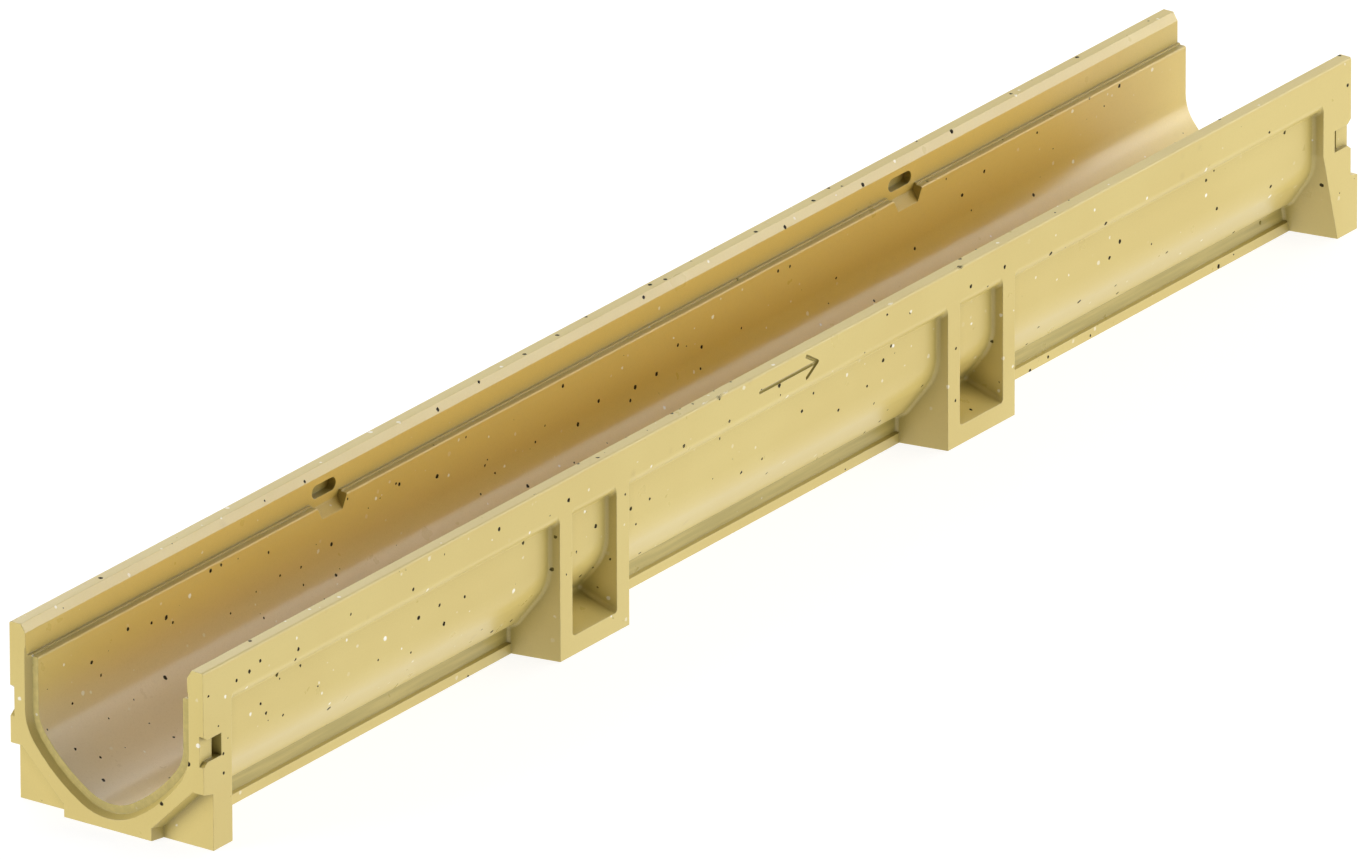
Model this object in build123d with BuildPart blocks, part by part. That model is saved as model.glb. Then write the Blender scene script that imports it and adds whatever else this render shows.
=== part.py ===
from build123d import *
from math import acos, atan2, degrees, radians, sin, sqrt, tan
import os

# Trench drain channel: one solid casting in polymer concrete, open at the top.
# X runs along the channel from the socket end (-X) to the spigot end (+X), Y runs
# across it and Z points up. The origin lies on the underside, in the middle of the
# laying length. The channel is the same on both sides of Y = 0. Sizes are millimetres.

# Overall sizes
laying_length = 1000.0
outer_width = 118.0
height = 97.0

# An inset is a distance in from the outer face of the side.

# Waterway: upright walls over a three-centred curve, with its haunch, flank and invert radii
waterway_inset = 14.85
waterway_spring = 53.2
waterway_low = 12.2
waterway_radii = (23.0, 90.0, 25.3)

# Rim above the waterway and the seat that the grating lies on
seat_inset = 9.6
seat_depth = 17.3
rim_radius = 1.2
rim_chamfer_across = 2.65
rim_chamfer_down = 4.4
lip_radius = 0.9
step_width = 1.6
step_height = 0.9

# Outside: flush band under the rim, side walls set back behind it, sole strip
band_depth = 17.0
band_round = 7.0
rib_depth = 5.7
bay_round = 2.5
wall_spring = 51.9
wall_haunch_radius = 30.7
flank_slope = 54.0
brow_radius = 8.0
brow_slope = 30.0
groove_inset = 28.5
groove_height = 14.6
groove_top_radius = 2.5
sole_inset = 26.7
sole_edge = 5.4
sole_rise = 0.9

# Ribs: one at each end and two pairs between them, each pair with a closed pocket
socket_rib_width = 23.4
spigot_rib_width = 25.1
pair_spacing = 337.4
pair_shift = -1.2
pair_width = 59.2
pocket_width = 38.2
pocket_sill = 10.2
pocket_floor_slope = 25.0
pocket_floor_radius = 2.5
rib_draft = 10.5
rib_root_radius = 2.3
toe_height = 50.0
toe_setback = 13.3

# Socket end: rebate round the waterway for sealant, recesses for the next channel's feet
rebate_inset = 9.0
rebate_spring = 51.9
rebate_low = 5.6
rebate_radii = (27.4, 93.5, 32.0)
rebate_above_seat = 4.9
rebate_depth = 3.4
rebate_draft = 33.0
recess_depth = 7.6
recess_height = 32.2
recess_inset = 32.3
recess_slant = 19.8
end_draft = 15.0

# Spigot end: feet that enter the next channel's recesses
foot_length = 6.1
foot_clearance = 0.4

# Notches in the outer walls at both ends for a joint clamp
clamp_reach = 14.8
clamp_height = 48.8
clamp_opening = 11.9
clamp_depth = 2.5
clamp_flare_length = 3.0
clamp_flare = 2.3
clamp_pocket_length = 4.8
clamp_pocket_depth = 5.8

# Blind slots in the rim for the grating's bars, with a notch in the seat below each
slot_spacing = 500.0
slot_length = 20.2
slot_width = 7.0
slot_depth = 4.8
slot_drop = 11.6
notch_length = 25.0
notch_taper = 4.0
notch_back_drop = 2.2
notch_front_drop = 7.1

# Places that follow from the sizes
half_length = laying_length / 2
half_width = outer_width / 2
half_waterway = half_width - waterway_inset
half_seat = half_width - seat_inset
half_sole = half_width - sole_inset
half_groove = half_width - groove_inset
seat_height = height - seat_depth
band_foot = height - band_depth
slot_height = height - slot_drop
wall_half = half_width - rib_depth
overrun = 6.0

# Centre of the outside's haunch as (Y, Z), and the point where its straight flank begins
wall_haunch_centre = Vector(wall_half - wall_haunch_radius, wall_spring)
haunch_turn = flank_slope - 90
haunch_end = wall_haunch_centre + Vector(wall_haunch_radius, 0).rotate(Axis.Z, haunch_turn)


def meet_flank(through: Vector, slope: float) -> Vector:
    """Point where a line through a point, rising outwards by slope degrees, meets the flank."""
    lean = 1 / tan(radians(flank_slope))
    rise = tan(radians(slope))
    z = through.Y + rise * (haunch_end.X - lean * haunch_end.Y - through.X)
    z = z / (1 - rise * lean)
    return Vector(haunch_end.X - (haunch_end.Y - z) * lean, z)


def bearing(start: Vector, end: Vector) -> float:
    """Angle in degrees of the line from start to end."""
    return degrees(atan2(end.Y - start.Y, end.X - start.X))


def trough_line(half: float, spring: float, low: float, radii: tuple) -> None:
    """Draw half of a three-centred curve, from its lowest point on the centre line to its spring.

    The radii are those of the haunch, the flank and the invert, each touching the next.
    """
    haunch, flank, invert = radii
    haunch_centre = Vector(half - haunch, spring)
    invert_centre = Vector(0, low + invert)
    span = haunch_centre - invert_centre
    along = ((flank - invert) ** 2 - (flank - haunch) ** 2 + span.length**2) / (2 * span.length)
    aside = sqrt((flank - invert) ** 2 - along**2)
    unit = span.normalized()
    flank_centre = invert_centre + unit * along + Vector(-unit.Y, unit.X) * aside
    haunch_angle = bearing(flank_centre, haunch_centre)
    invert_angle = bearing(flank_centre, invert_centre)
    CenterArc(invert_centre, invert, -90, 90 + invert_angle)
    CenterArc(flank_centre, flank, invert_angle, haunch_angle - invert_angle)
    CenterArc(haunch_centre, haunch, haunch_angle, -haunch_angle)


def rebate_section() -> Sketch:
    """Outline of the rebate where it opens in the end face."""
    half = half_width - rebate_inset
    top = seat_height + rebate_above_seat
    with BuildSketch() as section:
        with BuildLine():
            trough_line(half, rebate_spring, rebate_low, rebate_radii)
            Polyline((half, rebate_spring), (half, top), (0, top), (0, rebate_low))
        make_face()
        mirror(about=Plane.YZ)
    return section.sketch


def opening_section() -> Sketch:
    """Everything that is open above the invert: waterway, seat and mouth of the rim."""
    step_half = half_seat - step_width
    step_top = seat_height + step_height
    mouth_half = half_seat + rim_chamfer_across
    with BuildSketch() as section:
        with BuildLine():
            trough_line(half_waterway, waterway_spring, waterway_low, waterway_radii)
            FilletPolyline(
                (half_waterway, waterway_spring),
                (half_waterway, seat_height),
                (step_half, seat_height),
                radius=lip_radius,
            )
            Polyline(
                (step_half, seat_height),
                (step_half, step_top),
                (half_seat, step_top),
                (half_seat, height - rim_chamfer_down),
                (mouth_half, height),
                (mouth_half, height + overrun),
                (0, height + overrun),
                (0, waterway_low),
            )
        make_face()
        mirror(about=Plane.YZ)
    return section.sketch


def wall_line() -> None:
    """Draw the outside from the band's rounded foot down the wall to the end of the haunch."""
    turn = degrees(acos(1 - rib_depth / (band_round + bay_round)))
    hollow = band_foot - (band_round + bay_round) * sin(radians(turn))
    CenterArc((half_width - band_round, band_foot), band_round, 0, -turn)
    CenterArc((wall_half + bay_round, hollow), bay_round, 180 - turn, turn)
    Line((wall_half, hollow), (wall_half, wall_spring))
    CenterArc(wall_haunch_centre, wall_haunch_radius, haunch_turn, -haunch_turn)


def bay_section() -> Sketch:
    """The space outside the wall between two ribs, down past the sole strip."""
    outside = half_width + overrun
    groove_top = Vector(half_groove, groove_height)
    brow = meet_flank(groove_top, brow_slope)
    groove_foot = Vector(half_groove, sole_edge + sole_rise)
    with BuildSketch() as section:
        with BuildLine():
            wall_line()
            radii = [brow_radius, groove_top_radius]
            FilletPolyline(haunch_end, brow, groove_top, groove_foot, radius=radii)
            Polyline(
                groove_foot,
                (half_sole, sole_edge),
                (half_sole, -overrun),
                (outside, -overrun),
                (outside, band_foot),
                (half_width, band_foot),
            )
        make_face()
    return section.sketch


def pocket_section() -> Sketch:
    """The space between the two ribs of a pair, above its sloping floor."""
    outside = half_width + overrun
    floor_root = meet_flank(Vector(half_width, pocket_sill), -pocket_floor_slope)
    fall = tan(radians(pocket_floor_slope))
    with BuildSketch() as section:
        with BuildLine():
            wall_line()
            floor_end = Vector(outside, pocket_sill - fall * overrun)
            FilletPolyline(haunch_end, floor_root, floor_end, radius=pocket_floor_radius)
            Polyline(floor_end, (outside, band_foot), (half_width, band_foot))
        make_face()
    return section.sketch


def gap_plan(x_from: float, x_to: float) -> Sketch:
    """Plan of a gap between two ribs, narrower towards the wall by the draft."""
    near = half_sole - overrun
    far = half_width + overrun
    narrow = (half_width - near) * tan(radians(rib_draft))
    widen = (far - half_width) * tan(radians(rib_draft))
    with BuildSketch() as plan:
        with BuildLine():
            Polyline(
                (x_from + narrow, near),
                (x_from - widen, far),
                (x_to + widen, far),
                (x_to - narrow, near),
                close=True,
            )
        make_face()
    return plan.sketch


def is_root(edge: Edge) -> bool:
    """Whether an end edge of a gap lies in its wall or floor, above the sole groove."""
    middle = edge @ 0.5
    return half_groove < middle.Y < half_width - 0.1 and middle.Z > pocket_sill


def cut_gap(section: Sketch, x_from: float, x_to: float, toe: float = 0.0) -> Part:
    """Space between two ribs on the +Y side, its ends rounded into the wall.

    Below toe_height the far end slopes on by `toe`, measured along X at the underside.
    """
    reach = toe * (1 + overrun / toe_height)
    with BuildPart() as gap:
        with BuildSketch(Plane.XY.offset(toe_height)):
            add(gap_plan(x_from, x_to))
        extrude(amount=height - toe_height)
        with BuildSketch(Plane.XY.offset(-overrun)):
            add(gap_plan(x_from, x_to + reach))
        with BuildSketch(Plane.XY.offset(toe_height)):
            add(gap_plan(x_from, x_to))
        loft()
        with BuildSketch(Plane.YZ.offset(x_from - overrun)):
            add(section)
        extrude(amount=x_to - x_from + toe + 2 * overrun, mode=Mode.INTERSECT)
        ends = gap.faces().filter_by(lambda face: abs(face.normal_at().X) > 0.8)
        fillet(ends.edges().filter_by(is_root), radius=rib_root_radius)
    return gap.part


# Gaps between the ribs, from the socket end to the spigot end
pair_centres = [pair_shift - pair_spacing / 2, pair_shift + pair_spacing / 2]
bay_starts = [socket_rib_width - half_length] + [x + pair_width / 2 for x in pair_centres]
bay_ends = [x - pair_width / 2 for x in pair_centres] + [half_length - spigot_rib_width]
bay_toes = [0.0, 0.0, toe_setback]
gaps = [cut_gap(bay_section(), *bay) for bay in zip(bay_starts, bay_ends, bay_toes)]
for x in pair_centres:
    gaps.append(cut_gap(pocket_section(), x - pocket_width / 2, x + pocket_width / 2))


def corner_section(gap: float) -> Sketch:
    """Outline of a foot recess at the lower corner, drawn in by the given gap on every side."""
    side = half_width - recess_inset + gap
    slant = recess_slant + gap * sqrt(2)
    top = recess_height - gap
    outside = half_width + overrun
    with BuildSketch() as section:
        with BuildLine():
            Polyline(
                (side, -overrun),
                (side, side - slant),
                (top + slant, top),
                (outside, top),
                (outside, -overrun),
                close=True,
            )
        make_face()
    return section.sketch


def clamp_section() -> Sketch:
    """Outline of a clamp notch at the spigot end, flared where it opens in the end face."""
    foot = clamp_height
    top = clamp_height + clamp_opening
    inner = half_length - clamp_reach
    with BuildSketch() as section:
        with BuildLine():
            Polyline(
                (inner, foot),
                (half_length - clamp_flare_length, foot),
                (half_length, foot - clamp_flare),
                (half_length + overrun, foot - clamp_flare),
                (half_length + overrun, top + clamp_flare),
                (half_length, top + clamp_flare),
                (half_length - clamp_flare_length, top),
                (inner, top),
                close=True,
            )
        make_face()
    return section.sketch


# A foot of the spigot end, tapered, flush with the outer face and the underside
with BuildPart() as foot:
    with BuildSketch(Plane.YZ.offset(half_length)):
        add(corner_section(foot_clearance))
    extrude(amount=foot_length, taper=end_draft)
    with BuildSketch(Plane.YZ.offset(half_length)):
        Rectangle(half_width, height, align=(Align.MIN, Align.MIN))
    extrude(amount=foot_length, mode=Mode.INTERSECT)

# Notch in the seat below a slot: flared sides over a ramp that falls to the waterway
with BuildPart() as notch:
    notch_foot = seat_height - notch_front_drop
    notch_top = seat_height + step_height
    flare = notch_taper * (notch_top - notch_foot) / notch_front_drop
    with BuildSketch(Plane.XZ):
        with BuildLine():
            foot_end = notch_length / 2 - notch_taper
            Polyline(
                (-foot_end, notch_foot),
                (-foot_end - flare, notch_top),
                (foot_end + flare, notch_top),
                (foot_end, notch_foot),
                close=True,
            )
        make_face()
    extrude(amount=-half_seat)
    with BuildSketch(Plane.YZ):
        with BuildLine():
            Polyline(
                (half_seat, seat_height - notch_back_drop),
                (half_seat, notch_top),
                (half_waterway, notch_top),
                (half_waterway, notch_foot),
                close=True,
            )
        make_face()
    extrude(amount=notch_length, both=True, mode=Mode.INTERSECT)

with BuildPart() as channel_body:
    # Block for the +Y half, with the gaps between its ribs
    with BuildSketch(Plane.YZ.offset(-half_length)) as block:
        Rectangle(half_width, height, align=(Align.MIN, Align.MIN))
        fillet(block.vertices().group_by(Axis.Y)[-1].sort_by(Axis.X)[-1], radius=rim_radius)
    extrude(amount=laying_length)
    for gap in gaps:
        add(gap, mode=Mode.SUBTRACT)

    # Foot at the spigot end and the recess for the next channel's foot at the socket end
    add(foot.part)
    with BuildSketch(Plane.YZ.offset(-half_length)):
        add(corner_section(0))
    extrude(amount=recess_depth, taper=end_draft, mode=Mode.SUBTRACT)

    # Clamp notches, each with a deeper pocket at its inner end
    outer_face = Plane.XZ.offset(-half_width)
    with BuildSketch(outer_face):
        add(clamp_section())
        mirror(clamp_section(), about=Plane.YZ)
    extrude(amount=clamp_depth, mode=Mode.SUBTRACT)
    with BuildSketch(outer_face):
        pocket_place = half_length - clamp_reach + clamp_pocket_length / 2
        with Locations((pocket_place, clamp_height), (-pocket_place, clamp_height)):
            Rectangle(clamp_pocket_length, clamp_opening, align=(Align.CENTER, Align.MIN))
    extrude(amount=clamp_pocket_depth, mode=Mode.SUBTRACT)

    # Slots in the rim and the seat notches below them
    with BuildSketch(Plane.XZ.offset(-half_waterway)):
        with Locations((0, slot_height)):
            with GridLocations(slot_spacing, 0, 2, 1):
                SlotOverall(slot_length, slot_width)
    extrude(amount=half_waterway - half_seat - slot_depth, mode=Mode.SUBTRACT)
    for x in (-slot_spacing / 2, slot_spacing / 2):
        add(notch.part.moved(Location((x, 0, 0))), mode=Mode.SUBTRACT)

    mirror(about=Plane.XZ)

    # Rebate in the socket end, then the opening through the whole length
    with BuildSketch(Plane.YZ.offset(-half_length)):
        add(rebate_section())
    extrude(amount=rebate_depth, taper=rebate_draft, mode=Mode.SUBTRACT)
    with BuildSketch(Plane.YZ.offset(-half_length - overrun)):
        add(opening_section())
    extrude(amount=laying_length + 2 * overrun, mode=Mode.SUBTRACT)

os.makedirs("parts", exist_ok=True)
channel_body.part.label = "channel_body"
export_step(channel_body.part, "parts/channel_body.step")
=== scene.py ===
"""Looks of a cast polymer concrete drainage channel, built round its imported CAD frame."""
import logging
import math
from dataclasses import dataclass, field
from enum import Enum

import bpy
import numpy as np
from mathutils import Matrix, Vector


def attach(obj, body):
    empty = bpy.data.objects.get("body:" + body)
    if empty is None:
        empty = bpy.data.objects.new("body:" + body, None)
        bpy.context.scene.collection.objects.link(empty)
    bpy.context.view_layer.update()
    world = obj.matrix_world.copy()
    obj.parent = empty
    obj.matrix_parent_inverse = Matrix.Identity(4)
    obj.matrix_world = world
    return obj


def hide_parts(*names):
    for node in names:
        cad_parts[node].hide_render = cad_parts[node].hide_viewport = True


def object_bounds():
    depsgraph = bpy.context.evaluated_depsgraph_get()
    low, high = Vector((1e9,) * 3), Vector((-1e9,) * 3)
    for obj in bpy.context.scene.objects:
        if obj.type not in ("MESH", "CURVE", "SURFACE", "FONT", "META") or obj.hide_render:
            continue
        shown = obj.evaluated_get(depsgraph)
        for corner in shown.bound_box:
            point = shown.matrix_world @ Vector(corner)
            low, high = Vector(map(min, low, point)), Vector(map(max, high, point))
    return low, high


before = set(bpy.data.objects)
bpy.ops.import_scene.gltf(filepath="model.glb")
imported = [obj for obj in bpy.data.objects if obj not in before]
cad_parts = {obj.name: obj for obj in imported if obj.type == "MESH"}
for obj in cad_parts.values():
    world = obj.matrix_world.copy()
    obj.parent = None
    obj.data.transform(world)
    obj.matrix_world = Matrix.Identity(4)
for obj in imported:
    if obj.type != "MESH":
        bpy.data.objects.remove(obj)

CAD_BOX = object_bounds()
MM = 0.001

log = logging.getLogger("channel")

Colour = tuple[float, float, float]
Point = tuple[float, float, float]
Socket = bpy.types.NodeSocket


# Mesh helpers


def mesh_object(name: str, points: np.ndarray, faces: np.ndarray) -> bpy.types.Object:
    """Make a mesh object that sits at the origin, with its place in its points.

    Args:
        name: Name of the object and its mesh.
        points: Array of shape (n, 3), in metres.
        faces: Array of shape (m, k), indices of the corners of each face.

    Returns:
        The new object, linked to the scene.
    """
    mesh = bpy.data.meshes.new(name)
    mesh.from_pydata(points.tolist(), [], faces.tolist())
    mesh.validate()
    piece = bpy.data.objects.new(name, mesh)
    bpy.context.scene.collection.objects.link(piece)
    return piece


def grid_faces(rows: int, columns: int, first: int = 0) -> np.ndarray:
    """Quads of a grid whose columns close on themselves.

    Corner (i, j) is point first + i * columns + j, and column `columns` is column 0 again.

    Args:
        rows: Number of rows of points.
        columns: Number of points round each row.
        first: Index of the grid's first point.

    Returns:
        Array of shape ((rows - 1) * columns, 4).
    """
    i, j = np.meshgrid(np.arange(rows - 1), np.arange(columns), indexing="ij")
    k = (j + 1) % columns
    corners = (i * columns + j, i * columns + k, (i + 1) * columns + k, (i + 1) * columns + j)
    return first + np.stack(corners, axis=-1).reshape(-1, 4)


def corner_normals(mesh: bpy.types.Mesh) -> np.ndarray:
    """Read the normals of a mesh's face corners.

    Args:
        mesh: The mesh.

    Returns:
        Array of shape (corners, 3).
    """
    normals = np.empty(len(mesh.loops) * 3, dtype=np.float32)
    mesh.corner_normals.foreach_get("vector", normals)
    return normals.reshape(-1, 3)


# Finishes


class NodeBoard:
    """Adds and wires the nodes of one material."""

    def __init__(self, name: str) -> None:
        """Start an empty material.

        Args:
            name: Name of the material.
        """
        self.material = bpy.data.materials.new(name)
        self.material.use_nodes = True
        self.tree = self.material.node_tree
        self.tree.nodes.clear()

    def add(self, kind: str, **settings: object) -> bpy.types.Node:
        """Add a node.

        Args:
            kind: Blender's name of the kind, such as ShaderNodeMath.
            **settings: The node's settings by name.

        Returns:
            The new node.
        """
        node = self.tree.nodes.new(kind)
        for key, value in settings.items():
            setattr(node, key, value)
        return node

    def feed(self, socket: Socket, value: object) -> None:
        """Link an output to an input, or set the input to a plain value.

        Args:
            socket: The input.
            value: An output, or a number, a vector or a colour.
        """
        if isinstance(value, bpy.types.NodeSocket):
            self.tree.links.new(value, socket)
        else:
            socket.default_value = value

    def math(self, operation: str, a: object, b: object = 0.0, clamp: bool = False) -> Socket:
        """One arithmetic step on two numbers.

        Args:
            operation: Blender's name of the step, such as MULTIPLY.
            a: First number, or the output that gives it.
            b: Second number, or the output that gives it.
            clamp: Whether the result is kept between 0 and 1.

        Returns:
            The output that holds the result.
        """
        node = self.add("ShaderNodeMath", operation=operation, use_clamp=clamp)
        self.feed(node.inputs[0], a)
        self.feed(node.inputs[1], b)
        return node.outputs[0]

    def shift(self, vector: Socket, offset: Point) -> Socket:
        """Move a position by a fixed offset, so that two patterns don't line up.

        Args:
            vector: Position in metres.
            offset: How far it is moved.

        Returns:
            The output that holds the moved position.
        """
        node = self.add("ShaderNodeVectorMath", operation="ADD")
        self.feed(node.inputs[0], vector)
        self.feed(node.inputs[1], offset)
        return node.outputs[0]

    def noise(self, vector: Socket, per_metre: float, detail: float, rough: float = 0.5) -> Socket:
        """Soft noise between 0 and 1.

        Args:
            vector: Position in metres.
            per_metre: Number of waves per metre.
            detail: Number of finer layers of waves.
            rough: How strong each finer layer is against the one before.

        Returns:
            The output that holds the noise.
        """
        node = self.add("ShaderNodeTexNoise", noise_dimensions="3D")
        self.feed(node.inputs["Vector"], vector)
        self.feed(node.inputs["Scale"], per_metre)
        self.feed(node.inputs["Detail"], detail)
        self.feed(node.inputs["Roughness"], rough)
        return node.outputs["Fac"]

    def spread(self, value: Socket, low: float, high: float) -> Socket:
        """Stretch the part of a number between low and high to the range from 0 to 1.

        Args:
            value: The number.
            low: Where the result is 0.
            high: Where the result is 1.

        Returns:
            The output that holds the result.
        """
        node = self.add("ShaderNodeMapRange", interpolation_type="SMOOTHSTEP", clamp=True)
        self.feed(node.inputs["Value"], value)
        self.feed(node.inputs["From Min"], low)
        self.feed(node.inputs["From Max"], high)
        return node.outputs["Result"]

    def blend(self, share: object, base: object, other: object) -> Socket:
        """Blend two colours.

        Args:
            share: 0 for the base and 1 for the other, or the output that gives it.
            base: First colour, or the output that gives it.
            other: Second colour, or the output that gives it.

        Returns:
            The output that holds the blend.
        """
        node = self.add("ShaderNodeMix", data_type="RGBA")
        sockets = (node.inputs[0], node.inputs[6], node.inputs[7])
        for socket, value in zip(sockets, (share, base, other)):
            plain = isinstance(value, tuple)
            self.feed(socket, (*value, 1.0) if plain else value)
        return node.outputs[2]


@dataclass(frozen=True)
class GrainKind:
    """Mineral grains of one kind, scattered through the casting.

    A grain is a ball in a three-dimensional scatter, and shows where the surface cuts it. Its
    own radius lies between `smallest` times the kind's radius and that plus one more radius.
    """

    per_metre: float
    radius: float
    edge: float
    colour: Colour
    strength: float
    share: float
    offset: Point
    varied: bool = False
    smallest: float = 0.5

    def mask(self, board: NodeBoard, place: Socket) -> Socket:
        """Where the grains show, from 0 to 1.

        The mask is (r - d) / (edge * radius), held between 0 and 1, times the strength. Here d
        is the distance to the nearest scattered point and r the grain's own radius. Only the
        given share of the points carries a grain, and where they are varied each grain has
        its own part of the strength.

        Args:
            board: Board of the material.
            place: Position in metres.

        Returns:
            The output that holds the mask.
        """
        scatter = board.add("ShaderNodeTexVoronoi", voronoi_dimensions="3D", feature="F1")
        board.feed(scatter.inputs["Vector"], board.shift(place, self.offset))
        board.feed(scatter.inputs["Scale"], self.per_metre)
        chance = board.add("ShaderNodeSeparateColor")
        board.feed(chance.inputs[0], scatter.outputs["Color"])
        reach = self.radius * self.per_metre
        radius = board.math("MULTIPLY_ADD", chance.outputs[0], reach)
        radius.node.inputs[2].default_value = self.smallest * reach
        depth = board.math("SUBTRACT", radius, scatter.outputs["Distance"])
        disc = board.math("DIVIDE", depth, self.edge * reach, clamp=True)
        chosen = board.math("LESS_THAN", chance.outputs[1], self.share)
        mask = board.math("MULTIPLY", board.math("MULTIPLY", disc, chosen), self.strength)
        return board.math("MULTIPLY", mask, chance.outputs[2]) if self.varied else mask


class Grain(Enum):
    """The kinds of grain that show in the surface."""

    DARK = GrainKind(100.0, 0.0009, 0.10, (0.020, 0.016, 0.012), 0.98, 0.80, (0.0, 0.0, 0.0))
    PALE = GrainKind(100.0, 0.0010, 0.40, (0.98, 0.95, 0.84), 1.00, 0.85, (3.1, 7.7, 1.3), True)
    BROWN = GrainKind(60.0, 0.0024, 1.30, (0.33, 0.21, 0.07), 0.26, 0.50, (5.9, 2.3, 8.1), True)


@dataclass(frozen=True)
class CastStone:
    """Polymer concrete: fine sand in resin, smooth from the mould, with scattered grains."""

    name: str = "polymer_concrete_cast"
    body: Colour = (0.665, 0.530, 0.178)
    cloud: Colour = (0.640, 0.500, 0.160)
    # painted bounce light: a warmer, deeper tone for light bounced between the trough's walls
    trough_bounce: Colour = (0.735, 0.535, 0.146)
    # painted shade: dark tone painted into corners, recesses, the groove walls and the rebate's
    # floor
    painted_shade: Colour = (0.300, 0.245, 0.060)
    sand_dark: Colour = (0.50, 0.39, 0.12)
    worn: Colour = (0.76, 0.66, 0.34)
    roughness_low: float = 0.25
    roughness_high: float = 0.33
    index_of_refraction: float = 1.5
    specular: float = 0.5
    broad_per_metre: float = 9.0
    patch_per_metre: float = 70.0
    sand_per_metre: float = 900.0
    sand_share: float = 0.12
    ragged_per_metre: float = 700.0
    ragged_reach: float = 0.0011
    grain_depth: float = 0.00003
    wave_depth: float = 0.00012
    wave_shares: tuple[float, float] = (0.8, 0.12)
    worn_from: float = 0.02
    worn_full: float = 0.20
    worn_share: float = 0.45
    edge_radius: float = 0.0005
    # painted shade in corners and recesses: reach of the occlusion test, where the shade starts and
    # is full, its strength
    corner_shade_reach: float = 0.013
    corner_shade_from: float = 0.08
    corner_shade_full: float = 0.50
    corner_shade_share: float = 0.82
    # where the trough's painted bounce light starts and is full, in metres in from each end
    bounce_start: float = -0.06
    bounce_full: float = 0.14
    shade_share: float = 0.66
    streaks_per_metre: float = 420.0
    streak_stretch: float = 0.05
    streak_depth: float = 0.45
    # painted sheen: a pale reflection painted low in the trough, stronger towards the socket end
    painted_sheen: Colour = (0.90, 0.77, 0.58)
    sheen_share: float = 0.78
    sheen_full_height: float = 0.028
    sheen_top_height: float = 0.072
    sheen_end: float = -0.10
    sheen_full: float = 0.46

    def material(self) -> bpy.types.Material:
        """Make the material.

        The colour goes from body to cloud by broad soft noise, to a warmer, deeper tone of
        painted bounce light where the piece's own attribute marks the trough's inside, and to
        a painted pale sheen low in the trough. It takes a little darker sand by fine noise.
        Then come the grains, the rubbed edges, painted shade in corners and recesses, and
        painted shade where the piece's own attribute `shade` is set. Roughness and relief
        follow the same noises.

        Returns:
            The finished material.
        """
        board = NodeBoard(self.name)
        place = board.add("ShaderNodeTexCoord").outputs["Object"]
        # the trough's inside, where painted bounce light and a painted sheen go
        trough_bounce = board.add("ShaderNodeAttribute", attribute_name="trough_bounce").outputs["Fac"]

        broad = board.noise(place, self.broad_per_metre, 3.0)
        patch = board.noise(board.shift(place, (1.7, 4.2, 0.6)), self.patch_per_metre, 4.0)
        sand = board.noise(board.shift(place, (6.1, 0.4, 2.2)), self.sand_per_metre, 3.0, 0.65)

        colour = board.blend(board.spread(broad, 0.38, 0.62), self.body, self.cloud)
        # painted bounce light: a warmer, deeper tone inside the trough
        colour = board.blend(self.painted_bounce(board, place, trough_bounce), colour, self.trough_bounce)
        # painted pale sheen low in the trough
        colour = board.blend(self.painted_sheen_mask(board, place, trough_bounce), colour, self.painted_sheen)
        speckle = board.math("MULTIPLY", board.spread(sand, 0.48, 0.72), self.sand_share)
        colour = board.blend(speckle, colour, self.sand_dark)
        warp = self.ragged(board, place)
        masks = {grain: grain.value.mask(board, warp) for grain in Grain}
        for grain in (Grain.BROWN, Grain.PALE, Grain.DARK):
            colour = board.blend(masks[grain], colour, grain.value.colour)

        rounded = board.add("ShaderNodeBevel", samples=4)
        rounded.inputs["Radius"].default_value = self.edge_radius
        colour = board.blend(self.edges(board, rounded.outputs[0], patch), colour, self.worn)
        # painted shade in corners and recesses
        colour = board.blend(self.painted_corner_shade(board), colour, self.painted_shade)
        # painted shade on the groove walls and the rebate's floor
        colour = board.blend(self.shaded(board, place), colour, self.painted_shade)

        shader = board.add("ShaderNodeBsdfPrincipled")
        board.feed(shader.inputs["Base Color"], colour)
        sheen = board.math("MULTIPLY_ADD", patch, self.roughness_high - self.roughness_low)
        sheen.node.inputs[2].default_value = self.roughness_low
        board.feed(shader.inputs["Roughness"], sheen)
        matt = board.math("MULTIPLY_ADD", masks[Grain.DARK], -self.specular)
        matt.node.inputs[2].default_value = self.specular
        board.feed(shader.inputs["Specular IOR Level"], matt)
        shader.inputs["IOR"].default_value = self.index_of_refraction
        heights = (broad, patch, sand, masks[Grain.DARK])
        board.feed(shader.inputs["Normal"], self.relief(board, heights, rounded.outputs[0]))
        output = board.add("ShaderNodeOutputMaterial")
        board.feed(output.inputs["Surface"], shader.outputs[0])
        return board.material

    def ragged(self, board: NodeBoard, place: Socket) -> Socket:
        """Move the position a little by fine noise, so that the grains aren't round.

        Args:
            board: Board of the material.
            place: Position in metres.

        Returns:
            The output that holds the moved position.
        """
        wobble = board.add("ShaderNodeTexNoise", noise_dimensions="3D")
        board.feed(wobble.inputs["Vector"], place)
        board.feed(wobble.inputs["Scale"], self.ragged_per_metre)
        centred = board.add("ShaderNodeVectorMath", operation="SUBTRACT")
        board.feed(centred.inputs[0], wobble.outputs["Color"])
        board.feed(centred.inputs[1], (0.5, 0.5, 0.5))
        moved = board.add("ShaderNodeVectorMath", operation="MULTIPLY_ADD")
        board.feed(moved.inputs[0], centred.outputs[0])
        board.feed(moved.inputs[1], (self.ragged_reach,) * 3)
        board.feed(moved.inputs[2], place)
        return moved.outputs[0]

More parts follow.
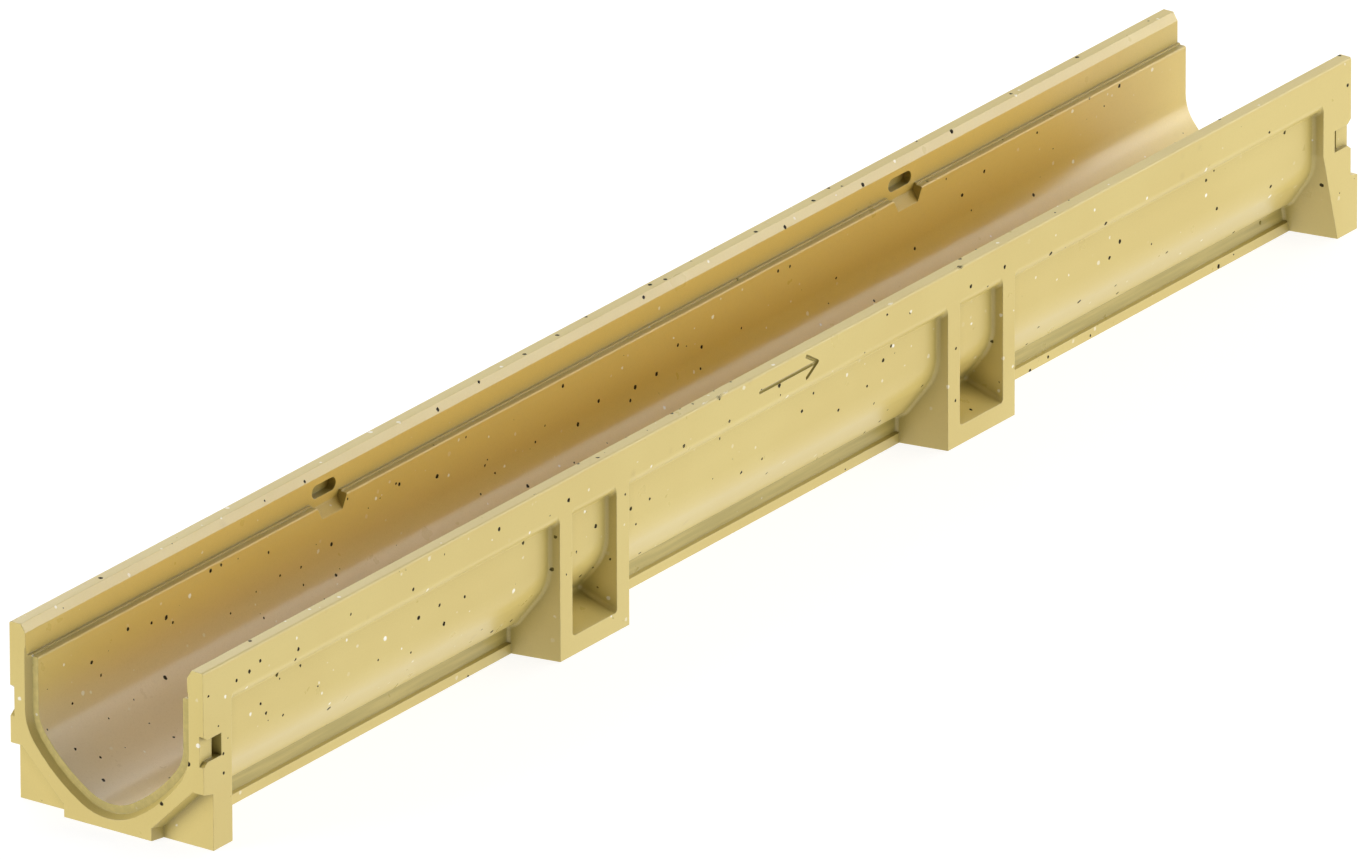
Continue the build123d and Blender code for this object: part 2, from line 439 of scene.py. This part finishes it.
    def edges(self, board: NodeBoard, rounded: Socket, patch: Socket) -> Socket:
        """Where the casting's edges are rubbed pale, in uneven stretches.

        Args:
            board: Board of the material.
            rounded: Normal with the casting's sharp edges rounded.
            patch: Middle-sized noise.

        Returns:
            The output that holds the share, from 0 to 1.
        """
        face = board.add("ShaderNodeNewGeometry").outputs["Normal"]
        turn = board.add("ShaderNodeVectorMath", operation="DOT_PRODUCT")
        board.feed(turn.inputs[0], face)
        board.feed(turn.inputs[1], rounded)
        apart = board.math("SUBTRACT", 1.0, turn.outputs["Value"])
        bent = board.spread(apart, self.worn_from, self.worn_full)
        rubbed = board.math("MULTIPLY", bent, board.spread(patch, 0.35, 0.65))
        return board.math("MULTIPLY", rubbed, self.worn_share)

    def painted_bounce(self, board: NodeBoard, place: Socket, trough_bounce: Socket) -> Socket:
        """How far the trough takes painted bounce light, a warmer, deeper tone: all of it but
        towards its two ends.

        Args:
            board: Board of the material.
            place: Position in metres.
            trough_bounce: Output that is 1 inside the trough and 0 elsewhere.

        Returns:
            The output that holds the share, from 0 to 1.
        """
        split = board.add("ShaderNodeSeparateXYZ")
        board.feed(split.inputs[0], place)
        inward = board.math("SUBTRACT", -CAD_BOX[0][0], board.math("ABSOLUTE", split.outputs["X"]))
        far_in = board.spread(inward, self.bounce_start, self.bounce_full)
        return board.math("MULTIPLY", trough_bounce, far_in)

    def painted_sheen_mask(self, board: NodeBoard, place: Socket, trough_bounce: Socket) -> Socket:
        """Where a pale sheen is painted low in the trough, stronger towards the socket end.

        Args:
            board: Board of the material.
            place: Position in metres.
            trough_bounce: Output that is 1 inside the trough and 0 elsewhere.

        Returns:
            The output that holds the share, from 0 to 1.
        """
        split = board.add("ShaderNodeSeparateXYZ")
        board.feed(split.inputs[0], place)
        height = split.outputs["Z"]
        above = board.spread(height, self.sheen_full_height, self.sheen_top_height)
        low = board.math("SUBTRACT", 1.0, above)
        behind = board.math("MULTIPLY", split.outputs["X"], -1.0)
        along = board.spread(behind, self.sheen_end, self.sheen_full)
        low_sheen = board.math("MULTIPLY", board.math("MULTIPLY", low, along), trough_bounce)
        return board.math("MULTIPLY", low_sheen, self.sheen_share)

    def shaded(self, board: NodeBoard, place: Socket) -> Socket:
        """Painted shade on the groove walls and the rebate's floor, uneven in streaks along the
        channel.

        Args:
            board: Board of the material.
            place: Position in metres.

        Returns:
            The output that holds the share, from 0 to 1.
        """
        shade = board.add("ShaderNodeAttribute", attribute_name="shade").outputs["Fac"]
        drawn = board.add("ShaderNodeVectorMath", operation="MULTIPLY")
        board.feed(drawn.inputs[0], place)
        board.feed(drawn.inputs[1], (self.streak_stretch, 1.0, 1.0))
        lines = board.noise(drawn.outputs[0], self.streaks_per_metre, 2.0)
        uneven = board.math("MULTIPLY_ADD", board.spread(lines, 0.25, 0.65), self.streak_depth)
        uneven.node.inputs[2].default_value = 1.0 - self.streak_depth
        return board.math("MULTIPLY", board.math("MULTIPLY", shade, uneven), self.shade_share)

    def painted_corner_shade(self, board: NodeBoard) -> Socket:
        """Where shade is painted into corners and recesses, by how much of the sky is closed.

        Args:
            board: Board of the material.

        Returns:
            The output that holds the share, from 0 to 1.
        """
        open_sky = board.add("ShaderNodeAmbientOcclusion", samples=4, only_local=True)
        open_sky.inputs["Distance"].default_value = self.corner_shade_reach
        closed = board.math("SUBTRACT", 1.0, open_sky.outputs["AO"])
        occluded = board.spread(closed, self.corner_shade_from, self.corner_shade_full)
        return board.math("MULTIPLY", occluded, self.corner_shade_share)

    def relief(self, board: NodeBoard, heights: tuple[Socket, ...], rounded: Socket) -> Socket:
        """Surface normal: broad waves of the mould, the sand's grain, and pits at dark grains.

        Args:
            board: Board of the material.
            heights: Broad noise, middle-sized noise, fine noise and the mask of dark grains.
            rounded: Normal with the casting's sharp edges rounded.

        Returns:
            The output that holds the normal.
        """
        broad, patch, sand, pits = heights
        long_waves = board.math("MULTIPLY", broad, self.wave_shares[0])
        short_waves = board.math("MULTIPLY", patch, self.wave_shares[1])
        waves = board.math("ADD", long_waves, short_waves)
        wave_bump = board.add("ShaderNodeBump")
        wave_bump.inputs["Distance"].default_value = self.wave_depth
        board.feed(wave_bump.inputs["Height"], waves)
        board.feed(wave_bump.inputs["Normal"], rounded)
        grain_bump = board.add("ShaderNodeBump")
        grain_bump.inputs["Distance"].default_value = self.grain_depth
        board.feed(grain_bump.inputs["Height"], board.math("SUBTRACT", sand, pits))
        board.feed(grain_bump.inputs["Normal"], wave_bump.outputs[0])
        return grain_bump.outputs[0]


# The channel


@dataclass(frozen=True)
class FlowArrow:
    """Arrow pressed into the side band, pointing the way the water runs, towards the spigot.

    Sizes are in millimetres. A stroke is `stroke` wide and `depth` deep, with a round bottom
    and round ends. It is the mark of a bar whose axis stands `proud` of the band's face.
    """

    centre_x: float = -1.5
    centre_z: float = 87.4
    length: float = 50.0
    barb_run: float = 9.5
    barb_rise: float = 5.8
    stroke: float = 2.0
    depth: float = 1.7
    proud: float = 0.07
    columns: int = 24
    cap_rows: int = 7

    def strokes(self, face_y: float) -> list[tuple[np.ndarray, np.ndarray]]:
        """Ends of the axis of each stroke, in metres: the shaft and two barbs.

        Args:
            face_y: Y of the band's face, in metres.

        Returns:
            Pairs of points.
        """
        y = face_y / MM - self.proud
        tip = (self.centre_x + self.length / 2, y, self.centre_z)
        tail = (self.centre_x - self.length / 2, y, self.centre_z)
        upper = (tip[0] - self.barb_run, y, tip[2] + self.barb_rise)
        lower = (tip[0] - self.barb_run, y, tip[2] - self.barb_rise)
        return [(np.array(start) * MM, np.array(tip) * MM) for start in (tail, upper, lower)]

    def bar_surface(self, name: str, start: np.ndarray, end: np.ndarray) -> bpy.types.Object:
        """A round-nosed bar from start to end, as deep as a stroke on either side of its axis.

        With u from the back nose to the front one and v round the bar, the point is
        axis(u) + sin(a(u)) * (depth * side * cos v + r * up * sin v) - r * cos(a(u)) * along,
        where r is half the stroke. The angle a runs from 0 to 90 degrees over the back nose
        and from 90 to 180 degrees over the front one, and axis is the start for the first
        half and the end for the rest.

        Args:
            name: Name of the object.
            start: First end of the axis, in metres.
            end: Second end of the axis, in metres.

        Returns:
            The closed bar, its faces outward.
        """
        along = (end - start) / np.linalg.norm(end - start)
        side = np.array((0.0, 1.0, 0.0))
        up = np.cross(along, side)
        lean = np.linspace(0.02, math.pi / 2, self.cap_rows)
        lean = np.concatenate((lean, math.pi - lean[::-1]))
        back = np.arange(lean.size) < self.cap_rows
        axis = np.where(back[:, None], start, end)
        turn = np.linspace(0.0, 2 * math.pi, self.columns, endpoint=False) + math.pi / self.columns
        radius = self.stroke / 2 * MM
        spoke = self.depth * MM * np.cos(turn)[:, None] * side + radius * np.sin(turn)[:, None] * up
        rows = axis - radius * np.cos(lean)[:, None] * along
        points = rows[:, None, :] + np.sin(lean)[:, None, None] * spoke[None, :, :]
        noses = np.array((start - radius * along, end + radius * along))
        count = lean.size * self.columns
        every = np.arange(self.columns)
        after = (every + 1) % self.columns
        last = count - self.columns
        fan_back = np.stack((np.full(self.columns, count), after, every), axis=-1)
        fan_front = np.stack((np.full(self.columns, count + 1), last + every, last + after), axis=-1)
        quads = grid_faces(lean.size, self.columns)
        halves = np.concatenate((quads[:, (0, 1, 2)], quads[:, (0, 2, 3)]))
        faces = np.concatenate((halves, fan_back, fan_front))
        return mesh_object(name, np.concatenate((points.reshape(-1, 3), noses)), faces)


@dataclass
class ChannelCasting:
    """The channel body: one casting, with the flow arrow pressed into its front band."""

    node: str = "channel_body"
    name: str = "channel_casting"
    slot: str = "polymer_concrete"
    finish: CastStone = field(default_factory=CastStone)
    arrow: FlowArrow = field(default_factory=FlowArrow)
    weld: float = 2e-6
    crease_degrees: float = 24.0
    haunch_axis: float = 22.6
    haunch_spring: float = 51.9
    haunch_radius: float = 30.7
    wall_half: float = 48.7
    wall_low: float = 6.4
    spring: float = 53.0
    rim_half: float = 52.5
    chamfer_foot: float = 92.4
    on_surface: float = 0.05
    agreement: float = 0.03
    groove_half: float = 31.5
    groove_low: float = 6.3
    groove_high: float = 15.0
    socket_face: float = -499.5
    rebate_reach: float = -496.0
    rebate_shade: float = 0.80
    across_limit: float = 0.2
    facing_limit: float = 0.9

    def welded_copy(self) -> bpy.types.Object:
        """Copy the CAD node with its loose corners welded: points on one place become one.

        Returns:
            The closed copy.
        """
        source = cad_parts[self.node].data
        count = len(source.vertices)
        points = np.empty(count * 3, dtype=np.float32)
        source.vertices.foreach_get("co", points)
        points = points.reshape(-1, 3).astype(float)
        keys = np.round(points / self.weld).astype(np.int64)
        _, first, welded = np.unique(keys, axis=0, return_index=True, return_inverse=True)
        corners = np.empty(len(source.loops), dtype=np.int32)
        source.loops.foreach_get("vertex_index", corners)
        faces = welded.reshape(-1)[corners].reshape(-1, 3)
        distinct = (faces != np.roll(faces, 1, axis=1)).all(axis=1)
        return mesh_object(self.name, points[first], faces[distinct])

    def round_haunches(self, mesh: bpy.types.Mesh) -> None:
        """Give the outside's haunches the normals of their true cylinder.

        Where a corner lies on the cylinder, at the haunch radius from its axis (a, s) in Y
        and Z, its normal is (0, |y| - a, z - s) over its length, turned to its own side.

        Args:
            mesh: The casting's mesh, with its other normals settled.
        """
        normals = corner_normals(mesh)
        points = np.empty(len(mesh.vertices) * 3, dtype=np.float32)
        corners = np.empty(len(mesh.loops), dtype=np.int32)
        mesh.vertices.foreach_get("co", points)
        mesh.loops.foreach_get("vertex_index", corners)
        _, y, z = points.reshape(-1, 3)[corners].T / MM
        across, rise = np.abs(y) - self.haunch_axis, z - self.haunch_spring
        radius = np.hypot(across, rise)
        true = np.stack((np.zeros_like(y), np.sign(y) * across, rise), axis=-1) / radius[:, None]
        along = np.einsum("ni,ni->n", true, normals)
        agrees = np.isclose(along, 1.0, atol=self.agreement)
        on_it = np.abs(radius - self.haunch_radius) < self.on_surface
        on_it &= (rise < self.on_surface) & agrees
        mesh.normals_split_custom_set(np.where(on_it[:, None], true, normals).tolist())

    def settle_normals(self, piece: bpy.types.Object) -> None:
        """Keep real edges sharp, flat faces flat and round ones smooth.

        Args:
            piece: The casting.
        """
        piece.data.shade_smooth()
        piece.data.set_sharp_from_angle(angle=math.radians(self.crease_degrees))
        level = piece.modifiers.new("flat_faces", "WEIGHTED_NORMAL")
        level.keep_sharp = True
        self.apply(piece)
        self.round_haunches(piece.data)

    @staticmethod
    def apply(piece: bpy.types.Object) -> None:
        """Make what the modifiers give into the piece's own mesh.

        Args:
            piece: The object with its modifiers.
        """
        occluded = bpy.data.meshes.new_from_object(
            piece.evaluated_get(bpy.context.evaluated_depsgraph_get())
        )
        piece.modifiers.clear()
        piece.data = occluded

    def press_arrow(self, piece: bpy.types.Object) -> None:
        """Press the strokes of the arrow into the band, one bar after another.

        Args:
            piece: The welded casting.
        """
        for number, (start, end) in enumerate(self.arrow.strokes(CAD_BOX[0][1])):
            bar = self.arrow.bar_surface(f"arrow_bar_{number}", start, end)
            cut = piece.modifiers.new("press", "BOOLEAN")
            cut.operation = "DIFFERENCE"
            cut.solver = "EXACT"
            cut.object = bar
            self.apply(piece)
            bpy.data.objects.remove(bar)

    def tag_surfaces(self, mesh: bpy.types.Mesh) -> None:
        """Store where the surface is the inside of the trough, which takes painted bounce light, and
        where painted shade goes.

        A face is inside where its middle lies within a curve through the middle of the wall:
        an ellipse below the spring, and upright walls above it. End faces are left out. The
        attribute `shade`, where the material paints shade, is 1 on the groove walls under the
        brow, and less on the rebate's floor, which faces the socket end behind its face.

        Args:
            mesh: The casting's mesh.
        """
        count = len(mesh.polygons)
        centres = np.empty(count * 3, dtype=np.float32)
        normals = np.empty(count * 3, dtype=np.float32)
        mesh.polygons.foreach_get("center", centres)
        mesh.polygons.foreach_get("normal", normals)
        x, y, z = centres.reshape(-1, 3).T / MM
        normal_x, normal_y, _ = normals.reshape(-1, 3).T
        drop = np.clip((self.spring - z) / (self.spring - self.wall_low), 0.0, None)
        below = (y / self.wall_half) ** 2 + drop**2 < 1.0
        above = (z >= self.spring) & (np.abs(y) < self.rim_half) & (z < self.chamfer_foot)
        inside = ((z < self.spring) & below) | above
        inside &= np.abs(normal_x) < self.across_limit
        # the trough's inside, which the material paints with bounce light and sheen
        self.store(mesh, "trough_bounce", inside.astype(np.float32))

        across = np.abs(y)
        groove = (np.abs(normal_y) > self.facing_limit) & (across < self.groove_half)
        groove &= (z > self.groove_low) & (z < self.groove_high)
        rebate = (normal_x < -self.facing_limit) & (x > self.socket_face) & (x < self.rebate_reach)
        rebate &= across < self.rim_half
        self.store(mesh, "shade", groove + self.rebate_shade * rebate)

    @staticmethod
    def store(mesh: bpy.types.Mesh, name: str, values: np.ndarray) -> None:
        """Store one number for each face as an attribute of the face's corners.

        Args:
            mesh: The casting's mesh.
            name: Name of the attribute.
            values: Array with one number for each face.
        """
        sides = np.empty(len(mesh.polygons), dtype=np.int32)
        mesh.polygons.foreach_get("loop_total", sides)
        spread = np.repeat(values.astype(np.float32), sides)
        mesh.attributes.new(name, "FLOAT", "CORNER").data.foreach_set("value", spread)

    def build(self) -> bpy.types.Object:
        """Make and dress the casting.

        Returns:
            The piece that stands for the CAD node.
        """
        piece = self.welded_copy()
        self.press_arrow(piece)
        self.settle_normals(piece)
        mesh = piece.data
        mesh.name = self.name
        self.tag_surfaces(mesh)
        mesh.materials.clear()
        mesh.materials.append(self.finish.material())
        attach(piece, "root")
        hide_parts(self.node)
        return piece


# The studio


@dataclass(frozen=True)
class Softbox:
    """A soft rectangular lamp that gives a level of light at the middle of the channel.

    Azimuth runs from +X towards +Y. A level of 1 shows a facing surface in its own colour.
    """

    name: str
    azimuth: float
    elevation: float
    width: float
    height: float
    level: float
    distance: float = 8.0

    def build(self) -> bpy.types.Object:
        """Hang the lamp.

        Its power is level * pi squared * the square of its distance, in watts.

        Returns:
            The lamp.
        """
        around, rise = math.radians(self.azimuth), math.radians(self.elevation)
        flat = math.cos(rise)
        back = Vector((math.cos(around) * flat, math.sin(around) * flat, math.sin(rise)))
        lamp = bpy.data.lights.new(self.name, "AREA")
        lamp.shape = "RECTANGLE"
        lamp.size = self.width
        lamp.size_y = self.height
        lamp.energy = self.level * math.pi**2 * self.distance**2
        holder = bpy.data.objects.new(self.name, lamp)
        turn = back.to_track_quat("Z", "Y").to_matrix().to_4x4()
        holder.matrix_world = Matrix.Translation(back * self.distance) @ turn
        holder.visible_camera = False
        bpy.context.scene.collection.objects.link(holder)
        return holder


@dataclass
class Studio:
    """White glowing floor, a faint even surround and soft lamps."""

    floor_half: float = 12.0
    floor_drop: float = 0.0002
    floor_glow: float = 1.0
    shadow_share: float = 0.30
    shadow_glow: float = 0.86
    surround: float = 0.09
    lamps: list[Softbox] = field(default_factory=lambda: [
        Softbox("right_box", -18.0, 14.0, 7.5, 3.8, 0.72),
        Softbox("front_box", -62.0, 12.0, 5.5, 3.4, 0.42),
        Softbox("far_box", 10.0, 35.0, 4.5, 4.0, 0.20),
        Softbox("back_box", 61.0, 37.5, 5.6, 4.9, 0.48),
        Softbox("sheen_box", 34.0, 20.0, 4.4, 3.4, 0.06),
        Softbox("left_box", 145.0, 15.0, 4.4, 4.0, 0.62),
    ])

    def floor(self) -> bpy.types.Object:
        """Lay the floor just under the channel.

        It lights the channel from below as a white table does. To the eye it is white,
        darkened a little by the channel's own shadow: a share of it is lit by the lamps,
        and the rest glows evenly.

        Returns:
            The floor.
        """
        half, low = self.floor_half, CAD_BOX[0][2] - self.floor_drop
        corners = ((-half, -half), (half, -half), (half, half), (-half, half))
        points = np.array([(x, y, low) for x, y in corners])
        floor = mesh_object("floor", points, np.array([(0, 1, 2, 3)]))
        board = NodeBoard("white_floor")
        table = board.add("ShaderNodeEmission")
        board.feed(table.inputs["Color"], (1.0, 1.0, 1.0, 1.0))
        board.feed(table.inputs["Strength"], self.floor_glow)
        shaded = board.add("ShaderNodeBsdfDiffuse")
        board.feed(shaded.inputs["Color"], (*(self.shadow_share,) * 3, 1.0))
        glow = board.add("ShaderNodeEmission")
        board.feed(glow.inputs["Color"], (1.0, 1.0, 1.0, 1.0))
        board.feed(glow.inputs["Strength"], self.shadow_glow)
        white = board.add("ShaderNodeAddShader")
        board.feed(white.inputs[0], shaded.outputs[0])
        board.feed(white.inputs[1], glow.outputs[0])
        rays = board.add("ShaderNodeLightPath")
        choice = board.add("ShaderNodeMixShader")
        board.feed(choice.inputs[0], rays.outputs["Is Camera Ray"])
        board.feed(choice.inputs[1], table.outputs[0])
        board.feed(choice.inputs[2], white.outputs[0])
        board.feed(board.add("ShaderNodeOutputMaterial").inputs["Surface"], choice.outputs[0])
        floor.data.materials.append(board.material)
        return floor

    def surroundings(self) -> None:
        """Light the world faintly and evenly, and show it white to the eye."""
        world = bpy.data.worlds.new("surroundings")
        world.use_nodes = True
        tree = world.node_tree
        tree.nodes.clear()
        light = tree.nodes.new("ShaderNodeBackground")
        light.inputs["Strength"].default_value = self.surround
        white = tree.nodes.new("ShaderNodeBackground")
        white.inputs["Strength"].default_value = 1.0
        for background in (light, white):
            background.inputs["Color"].default_value = (1.0, 1.0, 1.0, 1.0)
        rays = tree.nodes.new("ShaderNodeLightPath")
        choice = tree.nodes.new("ShaderNodeMixShader")
        tree.links.new(rays.outputs["Is Camera Ray"], choice.inputs[0])
        tree.links.new(light.outputs[0], choice.inputs[1])
        tree.links.new(white.outputs[0], choice.inputs[2])
        output = tree.nodes.new("ShaderNodeOutputWorld")
        tree.links.new(choice.outputs[0], output.inputs["Surface"])
        bpy.context.scene.world = world

    def build(self) -> None:
        """Set up the floor, the surroundings and the lamps."""
        self.floor()
        self.surroundings()
        for lamp in self.lamps:
            lamp.build()


@dataclass(frozen=True)
class PhotoCamera:
    """Camera at the photograph's viewing angle, far off with a long lens."""

    place: Point = (-11.94124, -8.49490, 6.06327)
    right: Point = (0.57899858, -0.81532288, -0.00303952)
    up: Point = (0.31140070, 0.21769165, 0.92500808)
    back: Point = (-0.75351858, -0.53652488, 0.37993527)
    lens: float = 828.702

    def build(self) -> bpy.types.Object:
        """Place the camera and make it the scene's.

        Returns:
            The camera.
        """
        camera = bpy.data.cameras.new("photo_camera")
        camera.lens = self.lens
        camera.sensor_width = 36.0
        camera.sensor_fit = "HORIZONTAL"
        camera.clip_end = 60.0
        holder = bpy.data.objects.new("photo_camera", camera)
        turn = Matrix((self.right, self.up, self.back)).transposed()
        holder.matrix_world = Matrix.Translation(self.place) @ turn.to_4x4()
        bpy.context.scene.collection.objects.link(holder)
        bpy.context.scene.camera = holder
        return holder


def main() -> None:
    """Build the camera, the casting and the studio, and log the casting's number of faces."""
    logging.basicConfig(level=logging.INFO, format="%(name)s: %(message)s")
    bpy.context.scene.view_settings.view_transform = "Standard"
    PhotoCamera().build()
    casting = ChannelCasting().build()
    log.info("%s: %d faces", casting.name, len(casting.data.polygons))
    Studio().build()


if __name__ == "__main__":
    main()
